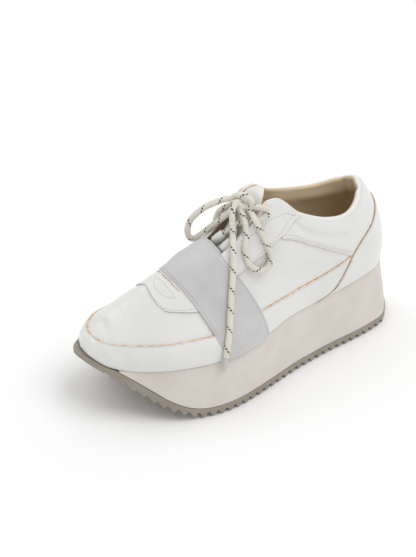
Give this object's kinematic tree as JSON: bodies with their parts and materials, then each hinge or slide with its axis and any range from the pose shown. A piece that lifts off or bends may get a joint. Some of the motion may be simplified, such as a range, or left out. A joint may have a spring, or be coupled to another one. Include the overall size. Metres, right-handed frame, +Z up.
{
  "type": "platform sneaker",
  "caption": "Low left platform sneaker in leather with a thick lugged sole, an elastic band over the instep, a padded collar and rope laces tied in a bow.",
  "frame": {"origin": "centre of the shoe's outline, on the plane that its lugs stand on", "axes": "+Z up, +Y towards the heel, -Y towards the toe, +X towards the outer (lateral) side"},
  "size_m": [0.1039, 0.276, 0.1476],
  "materials": {
    "outsole_rubber": "matte",
    "platform_foam": "matte",
    "white_leather": "smooth, slightly creased",
    "tan_lining": "matte",
    "raw_edge": "rough cut edge",
    "elastic": "fine ribs",
    "lace_rope": "braided, with dark flecks",
    "aglet_tip": "smooth",
    "thread": "twisted"
  },
  "bodies": {
    "root": {"outsole": "outsole_rubber", "platform": "platform_foam", "insole": "tan_lining", "upper": "white_leather", "toe_rand": "white_leather", "heel_counter": "white_leather", "elastic_band": "elastic", "tongue": "white_leather", "lace_sleeve_lateral": "white_leather", "lace_sleeve_medial": "white_leather", "lace_crossings": "lace_rope", "lace_knot": "lace_rope", "lace_loop_lateral": "lace_rope", "lace_loop_medial": "lace_rope", "lace_end_lateral": "lace_rope", "lace_end_medial": "lace_rope", "aglet_lateral": "aglet_tip", "aglet_medial": "aglet_tip"}
  },
  "joints": []
}
